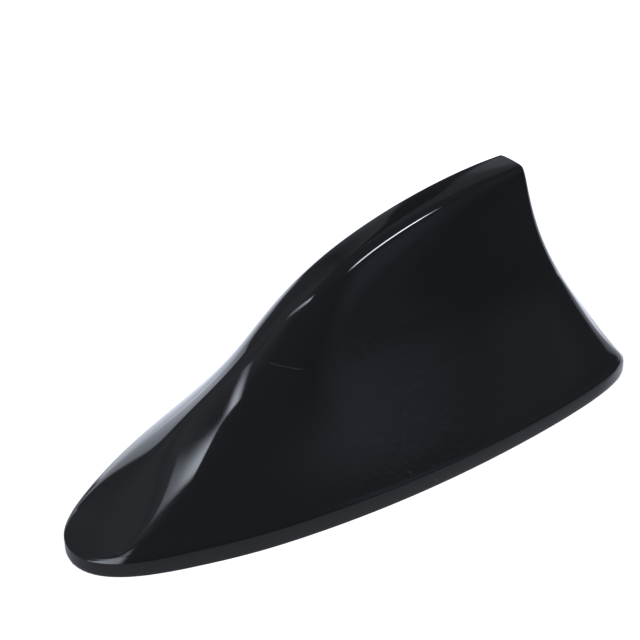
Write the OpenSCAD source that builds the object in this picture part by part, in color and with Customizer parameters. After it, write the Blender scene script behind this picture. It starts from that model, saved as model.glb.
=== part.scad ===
// Shark fin aerial for a car roof: a moulded cover on a base that a foam pad sticks down.
// X runs from the nose (-) to the tail (+), Z is up, the pad's underside is z = 0.

/* [Cover] */
// Overall length from nose to tail
fin_len = 165; // [155:1:185]
// Overall width across the rim
fin_wid = 69.3; // [67:0.1:76]
// Height of the spine's rear end above the roof
fin_hgt = 61; // [58:0.5:68]
// Top of the upright rim band above the roof
rim_hgt = 4.2; // [3.6:0.1:5.5]
// Gap between the cover's rim and the roof
rim_gap = 0.4; // [0.2:0.1:0.8]
// Wall of the moulded cover
wall = 2.2; // [1.8:0.1:2.6]
// Width of the flat spine at its rear end
spine_wid = 11; // [10:0.5:14]
// Widest guide of the spine over the nose
dome_wid = 24; // [22:0.5:28]
// Guide width of the spine behind the nose
shoulder_wid = 10; // [9:0.5:12]
// Guide width of the spine at its neck
neck_wid = 8; // [7:0.5:9]
// Guide width of the spine before its rear end
crest_wid = 12.5; // [12:0.5:15]
// Softness of the flank's upper edge over the nose
nose_soft = 5; // [4:0.5:7]
// Softness of the flank's upper edge behind the nose
shoulder_soft = 8; // [6:0.5:9]
// Softness of the flank's upper edge at the neck
neck_soft = 2; // [1.5:0.25:3]
// Softness of the flank's upper edge before its rear end
crest_soft = 4; // [3:0.25:5]
// Softness of the flank's upper edge at its rear end
spine_soft = 0.9; // [0.8:0.05:1.6]
// Softness of the spine's own edge over the nose
nose_crown = 9.5; // [8:0.5:11]
// Softness of the spine's own edge behind the nose
shoulder_crown = 8; // [6:0.5:9]
// Softness of the spine's own edge at the neck
neck_crown = 2.5; // [2:0.25:3.5]
// Softness of the spine's own edge before its rear end
crest_crown = 2.5; // [2:0.25:3.5]
// Softness of the spine's own edge at its rear end
spine_crown = 2.25; // [1.5:0.25:3]
// Softness of the flank's foot over the rim
foot_soft = 3; // [2:0.25:4]
// Rounding of the rear edge at the rim
edge_low = 2.4; // [1.5:0.1:3]
// Rounding of the rear edge at the top
edge_top = 1.2; // [0.8:0.1:1.6]
// Curve of the rear edge, 1 is straight
lean = 1.41; // [1.2:0.01:1.8]

/* [Cover bosses] */
// Radius of each screw boss
boss_r = 3.2; // [2.8:0.1:3.6]
// Height of each screw boss
boss_h = 8; // [7:0.5:10]
// Pilot bore of each screw boss
boss_bore = 2.4; // [2:0.1:2.8]
// Distance of the front pair from the nose
boss_front = 31; // [28:0.5:36]
// Distance of the middle pair behind the well's front end
boss_mid = 1.5; // [1:0.5:5]
// Distance of the rear pair ahead of the well's rear end
boss_rear = 1; // [0.5:0.5:4]
// Depth that each boss runs into the flank
boss_bite = 1.4; // [1.2:0.1:1.6]

/* [Foam pad and gasket] */
// Thickness of the adhesive foam pad
pad_t = 1; // [0.8:0.1:1.6]
// Inset of the pad from the cover's inner wall
pad_inset = 0.9; // [0.6:0.1:2]
// Clear border of the pad round the well
pad_border = 1.5; // [1:0.1:3]
// Access hole in the pad under each screw
pad_hole = 7.6; // [6.5:0.1:8]
// Width of the rubber gasket
gasket_w = 1.4; // [1:0.1:2]
// Height of the rubber gasket
gasket_h = 1.4; // [1:0.1:1.8]
// Clearance of the gasket from the cover's wall
gasket_gap = 0.1; // [0.05:0.05:0.3]

/* [Base] */
// Floor of the base moulding
base_t = 2.4; // [2:0.1:3]
// Thickness of the base's outer lip under the gasket
lip_t = 0.8; // [0.6:0.1:1.2]
// Clearance between base and cover
base_gap = 0.3; // [0.2:0.05:0.5]
// Length of the well over the car's own aerial foot
well_len = 72; // [64:1:76]
// Room beside the well on each side, up to the cover's rim
well_side = 17.65; // [17:0.05:19]
// Depth of the well above the roof
well_dep = 14; // [12:0.5:15]
// Corner radius of the well
well_r = 12; // [8:0.5:15]
// Wall of the well
well_wall = 1.8; // [1.4:0.1:2.2]
// Distance of the well's centre from the tail
well_pos = 58; // [56:0.5:61]
// Thickness of the stiffening ribs
rib_t = 1.4; // [1:0.1:2]
// Length of the ribs beside the well
rib_len = 7.5; // [6:0.5:8]
// Distance of the keel rib from the nose
keel_pos = 14; // [12:0.5:20]
// Height of the stiffening ribs above the floor
rib_h = 3; // [2:0.5:4]

/* [Screws] */
// Head diameter of the cover screws
head_d = 5.4; // [4.8:0.1:6]
// Head height of the cover screws
head_h = 1.1; // [0.9:0.1:1.3]
// Length of the cover screws under the head
screw_len = 7.5; // [6:0.5:8.5]
// Shank diameter of the board screws
mini_d = 1.7; // [1.4:0.1:2]
// Length of the board screws under the head
mini_len = 4.4; // [4:0.1:5]

/* [Circuit board] */
// Length of the board
board_len = 56; // [54:1:58]
// Width of the board
board_wid = 25; // [24:0.5:28]
// Thickness of the board
board_t = 1.6; // [1:0.1:2]
// Height of the posts that carry the board
post_h = 3; // [2.5:0.1:4]
// Radius of the posts
post_r = 2.6; // [2.2:0.1:3]
// Distance of the posts from the board's edges
post_in = 3.2; // [3:0.1:4]
// Radius of the notch in the board's front edge
notch_r = 2.6; // [2.2:0.1:3]

/* [Board parts] */
// Length of the shield can
can_len = 17; // [15:0.5:18]
// Width of the shield can
can_wid = 15; // [13:0.5:16]
// Height of the shield can
can_hgt = 4; // [3.5:0.1:5]
// Sheet thickness of the shield can
can_t = 0.4; // [0.3:0.05:0.5]
// Diameter of the smoothing capacitor
ecap_d = 6.3; // [5:0.1:6.6]
// Height of the smoothing capacitor
ecap_h = 5.4; // [4.5:0.1:7]
// Diameter of the choke
choke_d = 6; // [5:0.1:6.4]
// Height of the choke
choke_h = 4; // [3:0.1:5]

/* [Lead inlet] */
// Bore of the rubber grommet for the lead
lead_bore = 3.2; // [2.6:0.1:3.6]
// Body diameter of the grommet in the well's roof
grommet_d = 6.4; // [6:0.1:7]
// Flange diameter of the grommet
flange_d = 9; // [8.4:0.1:10]
// Flange thickness of the grommet
flange_t = 1; // [0.8:0.1:1.3]
// Gap between the grommet's flange and the well's front end
inlet_gap = 0.5; // [0.3:0.1:1]
// Distance of the lead's socket from the board's front edge
socket_pos = 7; // [6.5:0.5:8]

/* [Aerial element] */
// Diameter of the coil former
former_d = 6.4; // [5.6:0.1:7]
// Wire diameter of the aerial coil
wire_d = 0.8; // [0.6:0.1:1]
// Rise of one turn of the coil
pitch = 2.4; // [2:0.1:3]
// Turns of the coil
turns = 8; // [6:1:9]
// Distance of the coil from the rear posts
coil_pos = 7; // [6.5:0.5:8]
// Distance of the top plate's middle ahead of the coil
plate_pos = 6; // [5:0.5:7]
// Length of the blade under the top plate
blade_len = 14; // [12:0.5:16]
// Gap between the top plate's ridge and the cover
plate_gap = 1.8; // [1.4:0.1:2.4]
// Gap between the foot of the top plate's sides and the cover
plate_side = 0.5; // [0.3:0.1:1.5]
// Length of the folded top plate
plate_len = 34; // [28:1:38]
// Width of the top plate's ridge
plate_wid = 4.4; // [3.6:0.1:4.8]
// Depth of the top plate's folded sides
plate_drop = 9; // [6:0.5:10]
// Sheet thickness of the top plate
plate_t = 0.5; // [0.4:0.05:0.6]

/* [Hidden] */
$fn = 48;

hx = fin_len / 2;
hy = fin_wid / 2;
// Stations along the fin, steps round the rear edge, strips across the rear face.
nu = 40;
nc = 3;
nm = 6;
// Points from the rim to the spine's centre line, outside and inside.
n_out = 16;
n_in = 9;

// Guide points that pull the cover's splines, in plan and in side view,
// as shares of half the length, half the width and the height.
plan_pts = [[-1, 0], [-1, 0.29], [-0.697, 0.606], [-0.43, 0.808], [0.206, 1.053],
    [0.94, 0.981], [0.952, 0.794]];
spine_pts = [[-0.976, 0.082], [-0.752, 0.311], [-0.545, 0.484], [-0.345, 0.607],
    [-0.109, 0.926], [0.449, 1.025], [0.697, 1]];
plan_mm = [for (p = plan_pts) [p[0] * hx, p[1] * hy]];
spine_mm = concat([[-hx, rim_hgt]], [for (p = spine_pts) [p[0] * hx, p[1] * fin_hgt]]);
// Half width of the spine, softness of its edge on the flank and on top, and hollow of the
// flank, nose to tail.
half_mm = [0, dome_wid, shoulder_wid, neck_wid, crest_wid, spine_wid] / 2;
soft_mm = [0.5, nose_soft, shoulder_soft, neck_soft, crest_soft, spine_soft];
crown_mm = [0.5, nose_crown, shoulder_crown, neck_crown, crest_crown, spine_crown];
hollow = [-0.02, -0.01, 0.07, 0.12];

// Cubic spline over clamped, even knots: weights of n guide points at u from 0 to 1.
function kn(i, n) = min(max(i - 3, 0), n - 3);
function up(t, a, b) = b > a ? (t - a) / (b - a) : 0;
function down(t, a, b) = b > a ? (b - t) / (b - a) : 0;
function weight(i, k, t, n) = k == 0 ? (kn(i, n) <= t && t < kn(i + 1, n) ? 1 : 0) :
    up(t, kn(i, n), kn(i + k, n)) * weight(i, k - 1, t, n)
    + down(t, kn(i + 1, n), kn(i + k + 1, n)) * weight(i + 1, k - 1, t, n);
function weights(n, u) = let (t = min(u * (n - 3), n - 3 - 0.000001))
    [for (i = [0:n - 1]) weight(i, 3, t, n)];
w_out = [for (j = [0:2 * n_out - 2]) weights(17, j / (2 * n_out - 2))];
w_in = [for (j = [0:2 * n_in - 2]) weights(17, j / (2 * n_in - 2))];
function unit(v) = v / norm(v);
function station(i) = i / nu - 0.09 * sin(360 * i / nu);

// Half of a cross-section's guide polygon: rim, flank, soft edge and spine.
function half_section(w, s, h, c, m, b, zr) =
    let (a = [w, zr], e = [s, h], d = e - a, l = norm(d) + 0.001, t = d / l, n = [-t[1], t[0]],
         k = min(c / l, 0.6), f = (1 - k) * d)
    [[w, rim_gap], [w, (rim_gap + zr) / 2], a,
     a + t * min(foot_soft, 0.2 * l) + n * b * l * 0.4,
     a + 0.39 * f + n * b * l,
     a + 0.67 * f + n * b * l * 0.85,
     e - k * d,
     [s - min(m, 0.91 * s), h], [0, h]];

// Cross-section at u, set in by o for the wall and by d towards the section's middle.
function section(u, o, d, wts) =
    let (p = weights(7, u) * plan_mm, q = weights(8, u) * spine_mm,
         kx = 1 - o / hx, ky = 1 - o / hy,
         s = min(weights(6, u) * half_mm, 0.9 * p[1]) * (1 - 0.16 * o) - d,
         c = weights(6, u) * soft_mm, m = weights(6, u) * crown_mm, b = weights(4, u) * hollow,
         w = p[1] * ky - d, h = q[1] - o * (0.9 - 0.75 * exp((rim_hgt - q[1]) / 4)) - d,
         zr = rim_hgt - 0.15 * o,
         g = half_section(w, s, h, c, m, b, zr),
         f = concat([for (v = g) [-v[0], v[1]]], [for (k = [7:-1:0]) g[k]]))
    [for (wt = wts) let (v = wt * f, z = min(max((v[1] - zr) / (h - zr + 0.001), 0), 1))
        [kx * (p[0] + (q[0] - p[0]) * (1 - pow(1 - z, lean))), v[0], v[1]]];

// Rear corner: its reach, its start direction at the rim, and the bow of the rear face.
function reach(o, z) = max(0.5, edge_low + (edge_top - edge_low) * z - (o > 0 ? 0.8 : 0));
function rear(o) =
    let (k = [1 - o / hx, 1 - o / hy],
         p = weights(7, 1) * plan_mm, q = weights(7, 0.995) * plan_mm,
         e = [p[0] * k[0], p[1] * k[1]], t = unit(e - [q[0] * k[0], q[1] * k[1]]), a = reach(o, 0),
         yk = e[1] + a * t[1] - a)
    [e, t, (hx - o - e[0] - a * t[0]) / (a + yk / 2)];
function turn(t) = 2 * t - t * t;

// Rows of points from nose to tail: the nose line, the sections, the rear corner.
function rows(o, nv, wts) =
    let (e = section(1, o, 0, wts), q = section(0.995, o, 0, wts), f = section(1, o, 1, wts),
         zr = rim_hgt - 0.15 * o, h = e[nv - 1][2], bow = rear(o)[2])
    concat(
        [[for (j = [0:nv - 1]) [-hx + o, 0, rim_gap + (zr - rim_gap) * j / (nv - 1)]]],
        [for (i = [1:nu]) section(station(i), o, 0, wts)],
        [for (k = [1:nc]) [for (j = [0:2 * nv - 2])
            let (z = min(max((e[j][2] - zr) / (h - zr), 0), 1), a = reach(o, z), t = k / nc,
                 d = unit(e[j] - q[j]), n = f[j] - e[j])
            e[j] + a * d * turn(t) + a * [bow * abs(n[1]), n[1], n[2]] * t * t]]);

// All points of a skin: rows first, then the inner points of the rear face.
function skin(r, nv, o) = let (e = r[nu + nc], bow = rear(o)[2])
    concat([for (a = r) each a],
        [for (j = [0:nv - 2]) for (m = [1:nm - 1]) let (s = -1 + 2 * m / nm)
            [e[j][0] - bow * e[j][1] / 2 * (1 - s * s), -s * e[j][1], e[j][2]]]);
function at(i, j, nv) = i == 0 ? (j < nv ? j : 2 * nv - 2 - j) : nv + (i - 1) * (2 * nv - 1) + j;
function back(j, m, nv) = m == 0 ? at(nu + nc, j, nv) : m == nm ? at(nu + nc, 2 * nv - 2 - j, nv)
    : nv + (nu + nc) * (2 * nv - 1) + j * (nm - 1) + m - 1;
function faces(nv) = concat(
    [for (i = [0:nu + nc - 1]) for (j = [0:2 * nv - 3])
        let (a = at(i, j, nv), b = at(i + 1, j, nv), c = at(i + 1, j + 1, nv), d = at(i, j + 1, nv))
        each [[a, c, b], [a, d, c]]],
    [for (j = [0:nv - 3]) for (m = [0:nm - 1])
        let (a = back(j, m, nv), b = back(j, m + 1, nv),
             c = back(j + 1, m + 1, nv), d = back(j + 1, m, nv))
        each [[a, c, b], [a, d, c]]],
    [for (m = [0:nm - 1]) [back(nv - 2, m, nv), at(nu + nc, nv - 1, nv), back(nv - 2, m + 1, nv)]]);
function foot(nv) = concat([for (i = [0:nu + nc]) at(i, 0, nv)], [for (m = [1:nm - 1]) back(0, m, nv)],
    [for (i = [nu + nc:-1:1]) at(i, 2 * nv - 2, nv)]);

r_out = rows(0, n_out, w_out);
r_in = rows(wall, n_in, w_in);

// Plan outline set in by o from the rim.
function near_line(o) = let (g = rear(o), e = g[0], t = g[1], a = reach(o, 0))
    concat([for (i = [1:nu]) let (p = weights(7, station(i)) * plan_mm)
            [p[0] * (1 - o / hx), -p[1] * (1 - o / hy)]],
        [for (k = [1:nc]) let (s = k / nc)
            [e[0], -e[1]] + a * [t[0], -t[1]] * turn(s) + a * [g[2], 1] * s * s]);
function face_line(e, bow) = [for (m = [1:nm - 1]) let (s = -1 + 2 * m / nm)
    [e[0] - bow * e[1] / 2 * (1 - s * s), -s * e[1]]];
function outline(o) = let (n = near_line(o), c = len(n) - 1, e = n[c], bow = rear(o)[2])
    concat([[-hx + o, 0]], n,
        face_line(e, bow),
        [for (i = [c:-1:0]) [n[i][0], -n[i][1]]]);

// Inner face of the flank: half width at x and height z, and the spine's height at x.
function at_z(r, z, k) = lookup(z, [for (j = [0:n_in - 1]) [r[j][2], r[j][k]]]);
function cut_at(z) = [for (i = [1:nu]) let (r = r_in[i]) if (r[n_in - 1][2] > z)
    [at_z(r, z, 0), -at_z(r, z, 1)]];
function inner_line(z, g) = let (
        n = [for (i = [1:nu + nc]) let (r = r_in[i]) if (r[n_in - 1][2] > z)
            [at_z(r, z, 0), at_z(r, z, 1)]],
        e = n[len(n) - 1], b = face_line(e, rear(wall)[2]))
    [for (p = concat(n, b, [for (i = [len(n) - 1:-1:0]) [n[i][0], -n[i][1]]]))
        [p[0] * (1 - g / hx), p[1] * (1 - g / hy)]];
function inner_y(x, z) = lookup(x, cut_at(z));
function inner_z(x) = lookup(x, [for (i = [1:nu]) [r_in[i][n_in - 1][0], r_in[i][n_in - 1][2]]]);

// Heights of the stack.
base_z = pad_t;
floor_z = base_z + base_t;
lip_z = base_z + lip_t;
roof_z = well_dep + well_wall;
board_z = roof_z + post_h;
top_z = board_z + board_t;
lip_in = wall + base_gap;
floor_in = lip_in + gasket_w;
seat_z = base_z + head_h + 0.1;

// Places in plan.
well_wid = fin_wid - 2 * well_side;
well_x = hx - well_pos;
well_x0 = well_x - well_len / 2;
boss_x = [-hx + boss_front, well_x0 + boss_mid, well_x0 + well_len - boss_rear];
boss_xy = [for (x = boss_x) for (s = [-1, 1])
    [x, s * (inner_y(x, floor_z + boss_h) + boss_bite - boss_r)]];
board_x = well_x;
board_x0 = board_x - board_len / 2;
post_xy = [for (a = [-1, 1]) for (b = [-1, 1])
    [board_x + a * (board_len / 2 - post_in), b * (board_wid / 2 - post_in)]];
inlet_x = well_x0 + flange_d / 2 + inlet_gap;
socket_x = board_x0 + socket_pos;
can_x = socket_x + 3.5 + can_len / 2;
can_y = -3;
part_x = can_x + can_len / 2 + 5;
coil_x = board_x + board_len / 2 - post_in - coil_pos;
plate_x = coil_x - plate_pos;
ridge_z = inner_z(plate_x - plate_len / 2) - plate_gap;
coil_r = former_d / 2 + 0.2 + wire_d / 2;
coil_z = top_z + 3;
plate_foot = min([for (s = [-1, 0, 1])
    inner_y(plate_x + s * plate_len / 2, ridge_z - plate_drop)]) - plate_side;
fold = atan((plate_foot - plate_wid / 2) / plate_drop);

module slab(o, z, t) translate([0, 0, z]) linear_extrude(t) polygon(outline(o));
module well(g, z, t) translate([0, 0, z]) linear_extrude(t) union() {
    r = min(well_r, well_wid / 2 - 0.5) + g;
    l = well_len / 2 + g;
    w = well_wid / 2 + g;
    translate([well_x - l + r, -w]) square([2 * (l - r), 2 * w]);
    translate([well_x - l, -w + r]) square([2 * l, 2 * (w - r)]);
    for (a = [-1, 1]) for (b = [-1, 1]) translate([well_x + a * (l - r), b * (w - r)]) circle(r);
}
module pin(p, r, z0, z1) translate([p[0], p[1], z0]) cylinder(r = r, h = z1 - z0);

// Moulded cover: a lofted skin with its screw bosses.
module cover() {
    a = skin(r_out, n_out, 0);
    b = skin(r_in, n_in, wall);
    fo = foot(n_out);
    fi = [for (v = foot(n_in)) v + len(a)];
    n = len(fo);
    color("#1b1c1e") difference() {
        union() {
            polyhedron(concat(a, b), concat(faces(n_out),
                [for (f = faces(n_in)) [f[0], f[2], f[1]] + len(a) * [1, 1, 1]],
                [for (k = [0:n - 1]) let (m = (k + 1) % n)
                    each [[fo[k], fo[m], fi[m]], [fo[k], fi[m], fi[k]]]]),
                convexity = 8);
            for (p = boss_xy) pin(p, boss_r, floor_z, floor_z + boss_h);
        }
        for (p = boss_xy) pin(p, boss_bore / 2, floor_z - 1, floor_z + boss_h - 1);
    }
}

// Soft ring in the base's step, pressed against the cover's wall.
module rim_gasket() color("#26282a") difference() {
    translate([0, 0, lip_z]) linear_extrude(gasket_h) polygon(inner_line(lip_z + gasket_h, gasket_gap));
    slab(floor_in, lip_z - 1, gasket_h + 2);
}

// Base moulding with the well, its roof, the board posts and the ribs.
module base_plate() color("#242628") difference() {
    union() {
        slab(lip_in, base_z, lip_t);
        slab(floor_in, base_z, base_t);
        well(well_wall, base_z, roof_z - base_z);
        for (p = post_xy) pin(p, post_r, roof_z - 0.5, board_z);
        // Keel rib from the well to the nose, and ribs beside the well.
        translate([-hx + keel_pos, -rib_t / 2, base_z])
            cube([well_x0 + hx - keel_pos, rib_t, base_t + rib_h]);
        for (k = [1:4]) for (s = [-1, 1])
            translate([boss_x[1] + (boss_x[2] - boss_x[1]) * k / 5 - rib_t / 2,
                s * well_wid / 2 - (s < 0 ? rib_len : 0), base_z])
                cube([rib_t, rib_len, base_t + rib_h]);
    }
    well(0, base_z - 1, well_dep - base_z + 1);
    for (p = boss_xy) {
        pin(p, head_d / 2 + 0.3, base_z - 1, seat_z);
        pin(p, boss_bore / 2 + 0.3, base_z, floor_z + 1);
    }
    for (p = post_xy) pin(p, mini_d / 2 + 0.05, board_z - mini_len + 1.2, board_z + 1);
    pin([inlet_x, 0], grommet_d / 2, well_dep - 1, roof_z + 1);
}

// Foam pad that sticks the base to the roof, open over the well and the screws.
module adhesive_pad() color("#18191a") difference() {
    slab(wall + pad_inset, 0, pad_t);
    well(pad_border, -1, pad_t + 2);
    for (p = boss_xy) pin(p, pad_hole / 2, -1, pad_t + 1);
}

// Self-tapping screw, head down, with a cross recess.
module base_screw() difference() {
    union() {
        rotate_extrude() polygon([[0, 0], [head_d / 2 - 0.5, 0], [head_d / 2, 0.5],
            [head_d / 2, head_h], [0, head_h]]);
        cylinder(r = boss_bore / 2 - 0.05, h = head_h + screw_len - 1);
        translate([0, 0, head_h + screw_len - 1]) cylinder(r1 = boss_bore / 2 - 0.05, r2 = 0.3, h = 1);
    }
    for (a = [0, 90]) rotate(a) translate([-1.4, -0.3, -1]) cube([2.8, 0.6, 1.6]);
}
module base_screws() color("#b9bcc0") for (p = boss_xy)
    translate([p[0], p[1], seat_z - head_h]) base_screw();

// Glass-fibre board with its corner holes and the notch where the lead comes up.
module circuit_board() color("#1f5b3a") difference() {
    translate([board_x0, -board_wid / 2, board_z]) cube([board_len, board_wid, board_t]);
    for (p = post_xy) pin(p, mini_d / 2 + 0.2, board_z - 1, top_z + 1);
    pin([board_x0, 0], notch_r, board_z - 1, top_z + 1);
}
module board_screw() difference() {
    union() {
        rotate_extrude() polygon([[0, 0], [1.6, 0], [1.6, 0.6], [1.1, 1], [0, 1]]);
        translate([0, 0, -mini_len]) cylinder(r = mini_d / 2, h = mini_len);
    }
    for (a = [0, 90]) rotate(a) translate([-0.9, -0.2, 0.5]) cube([1.8, 0.4, 1]);
}
module board_screws() color("#c9cbce") for (p = post_xy)
    translate([p[0], p[1], top_z]) board_screw();

// Tinned can over the amplifier, open below, with vent holes.
module shield_can() color("#b4b7ba") difference() {
    translate([can_x - can_len / 2, can_y - can_wid / 2, top_z]) cube([can_len, can_wid, can_hgt]);
    translate([can_x - can_len / 2 + can_t, can_y - can_wid / 2 + can_t, top_z - 1])
        cube([can_len - 2 * can_t, can_wid - 2 * can_t, can_hgt + 1 - can_t]);
    for (a = [-2:2]) for (b = [-1:1])
        pin([can_x + 3 * a, can_y + 4 * b], 0.8, top_z + 1, top_z + can_hgt + 1);
}
module amplifier_chip() color("#1c1d1f") difference() {
    translate([can_x - 2.45, can_y - 1.95, top_z + 0.15]) cube([4.9, 3.9, 1.4]);
    pin([can_x - 1.6, can_y - 1.1], 0.35, top_z + 1.45, top_z + 2);
}
module chip_legs() color("#c4c6c9") for (a = [-1.5:1:1.5]) for (s = [0, 180])
    translate([can_x, can_y, top_z]) rotate(s) translate([a * 1.27 + 0.2, 1.95, 0]) rotate([90, 0, -90])
        linear_extrude(0.4) polygon([[0, 0.8], [-0.5, 0.8], [-0.7, 0.2], [-1.2, 0.2],
            [-1.2, 0], [-0.55, 0], [-0.35, 0.6], [0, 0.6]]);
module chip(x, y, l, w, h) translate([x - l / 2, y - w / 2, top_z]) cube([l, w, h]);
module chip_capacitors() color("#a98c68") {
    for (a = [-2:2]) chip(can_x + 3.2 * a, can_y + can_wid / 2 + 2.2, 2, 1.2, 0.9);
    chip(can_x - 5, can_y + 4.5, 2, 1.2, 0.9);
    chip(can_x + 5, can_y - 4.5, 2, 1.2, 0.9);
}
module chip_resistors() color("#2a2b2e") {
    for (a = [-1:1]) chip(can_x + 3.2 * a, can_y + can_wid / 2 + 4.6, 2, 1.2, 0.5);
    chip(can_x + 5, can_y + 4.5, 2, 1.2, 0.5);
    chip(can_x - 5, can_y - 4.5, 2, 1.2, 0.5);
}

// Drum choke: ferrite bobbin with its winding.
choke_y = -board_wid / 2 + 4.5;
module choke_core() color("#3a3a3c") translate([part_x, choke_y, top_z]) rotate_extrude()
    polygon([[0, 0], [choke_d / 2, 0], [choke_d / 2, 0.8], [choke_d / 4, 0.8],
        [choke_d / 4, choke_h - 0.8], [choke_d / 2, choke_h - 0.8], [choke_d / 2, choke_h],
        [0, choke_h]]);
module choke_winding() color("#a8602f") translate([part_x, choke_y, top_z + 0.8]) difference() {
    cylinder(r = choke_d / 2 - 0.4, h = choke_h - 1.6);
    translate([0, 0, -1]) cylinder(r = choke_d / 4, h = choke_h);
}

// Smoothing capacitor: aluminium can on its plastic foot.
ecap_y = board_wid / 2 - 4.8;
module capacitor_can() color("#c3c6c9") translate([part_x, ecap_y, top_z + 0.8]) rotate_extrude()
    polygon([[0, 0], [ecap_d / 2 - 0.3, 0], [ecap_d / 2 - 0.3, 0.5], [ecap_d / 2, 0.8],
        [ecap_d / 2, ecap_h - 1.1], [ecap_d / 2 - 0.3, ecap_h - 0.8], [0, ecap_h - 0.8]]);
module capacitor_foot() color("#1c1d1f") translate([part_x, ecap_y, top_z]) linear_extrude(0.8)
    polygon([[-3.3, -3.3], [2.3, -3.3], [3.3, -2.3], [3.3, 2.3], [2.3, 3.3], [-3.3, 3.3]]);

// Coaxial socket for the lead: turned shell, white insulator with the centre contact's hole.
module coax_socket() color("#c8a24a") translate([socket_x, 0, top_z]) rotate_extrude()
    polygon([[1.6, 0], [3, 0], [3, 1.2], [2.4, 1.2], [2.4, 3.4], [2.7, 3.7], [2.7, 4.6],
        [2, 4.6], [2, 1], [1.6, 1]]);
module socket_insulator() color("#e6e4dc") translate([socket_x, 0, top_z]) rotate_extrude()
    polygon([[0.4, 0], [1.6, 0], [1.6, 1], [2, 1], [2, 1.8], [1.2, 1.8], [1.2, 3.6], [0.4, 3.6]]);

// Rubber grommet in the well's roof, the inlet for the lead.
module lead_grommet() color("#1b1b1c") translate([inlet_x, 0, 0]) rotate_extrude()
    polygon([[lead_bore / 2, well_dep - flange_t], [flange_d / 2 - 0.4, well_dep - flange_t],
        [flange_d / 2, well_dep - flange_t + 0.4], [flange_d / 2, well_dep],
        [grommet_d / 2, well_dep], [grommet_d / 2, roof_z], [flange_d / 2, roof_z],
        [flange_d / 2, roof_z + flange_t - 0.4], [flange_d / 2 - 0.4, roof_z + flange_t],
        [lead_bore / 2, roof_z + flange_t]]);

// Coil former: foot, core and the blade that carries the top plate.
blade_z = coil_z + pitch * turns + 2;
module coil_former() color("#d9d6cb") translate([coil_x, 0, 0]) difference() {
    b = blade_len / 2;
    union() {
        translate([0, 0, top_z]) rotate_extrude()
            polygon([[0, 0], [former_d / 2 + 1.4, 0], [former_d / 2 + 1.4, 0.8],
                [former_d / 2, 1.6], [former_d / 2, blade_z - top_z], [0, blade_z - top_z]]);
        translate([0, 1.4, 0]) rotate([90, 0, 0]) linear_extrude(2.8)
            polygon([[-2.6, blade_z - 1], [2.6, blade_z - 1], [b, ridge_z - plate_t - 2],
                [b, ridge_z - plate_t], [-b, ridge_z - plate_t], [-b, ridge_z - plate_t - 2]]);
    }
    pin([0, coil_r], wire_d / 2 + 0.1, top_z - 1, top_z + 2);
}

// Copper aerial coil: one wire swept up the board pin, round the former and up to the top plate.
steps = 12;
side = 6;
wire_top = ridge_z - (coil_r + wire_d / 2 + plate_t / cos(fold) + 0.15 - plate_wid / 2) / tan(fold);
coil_path = concat([[90, top_z], [90, coil_z - 1]],
    [for (k = [0:turns * steps]) [90 + 360 * k / steps, coil_z + pitch * k / steps]],
    [[90 + 360 * turns, coil_z + pitch * turns + 1], [90 + 360 * turns, wire_top]]);
module aerial_coil() color("#b8713c") translate([coil_x, 0, 0]) {
    c = [for (p = coil_path) [coil_r * cos(p[0]), coil_r * sin(p[0]), p[1]]];
    n = len(c) - 1;
    pts = [for (i = [0:n]) let (t = unit(c[min(i + 1, n)] - c[max(i - 1, 0)]),
            r = [cos(coil_path[i][0]), sin(coil_path[i][0]), 0], s = unit(cross(t, r)), q = cross(s, t))
        for (k = [0:side - 1]) let (w = 360 * k / side)
            c[i] + wire_d / 2 * (cos(w) * q + sin(w) * s)];
    polyhedron(pts, concat([[for (k = [0:side - 1]) k]],
        [for (i = [0:n - 1]) for (k = [0:side - 1]) let (a = i * side + k, b = i * side + (k + 1) % side)
            each [[a, b + side, b], [a, a + side, b + side]]],
        [[for (k = [side - 1:-1:0]) n * side + k]]));
}

// Folded sheet that loads the top of the aerial, with a ridge and two sides.
module top_plate() {
    a = plate_wid / 2;
    d = plate_drop * tan(fold);
    t = plate_t;
    u = plate_t / cos(fold);
    color("#c7c9cc") difference() {
        translate([plate_x - plate_len / 2, 0, 0]) rotate([90, 0, 90]) linear_extrude(plate_len)
            polygon([[-a, ridge_z], [a, ridge_z], [a + d, ridge_z - plate_drop],
                [a + d - u, ridge_z - plate_drop],
                [a - u + t * tan(fold), ridge_z - t], [-a + u - t * tan(fold), ridge_z - t],
                [-a - d + u, ridge_z - plate_drop], [-a - d, ridge_z - plate_drop]]);
        for (x = [-1, 1]) translate([plate_x + x * plate_len / 3.2, 0, ridge_z - plate_drop + 2.5])
            rotate([90, 0, 0]) translate([0, 0, -a - d]) cylinder(r = 1.1, h = 2 * (a + d));
    }
}

cover();
rim_gasket();
base_plate();
adhesive_pad();
base_screws();
circuit_board();
board_screws();
shield_can();
amplifier_chip();
chip_legs();
chip_capacitors();
chip_resistors();
choke_core();
choke_winding();
capacitor_can();
capacitor_foot();
coax_socket();
socket_insulator();
lead_grommet();
coil_former();
aerial_coil();
top_plate();
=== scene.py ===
"""Shark fin aerial for a car roof: gloss moulded cover, base, foam pad and the parts inside.
X runs from the nose (-) to the tail (+), Z is up, the roof is z = 0; sizes are in millimetres
times MM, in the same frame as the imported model."""
import math

import bmesh
import bpy
import numpy as np
from mathutils import Matrix, Vector


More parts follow.
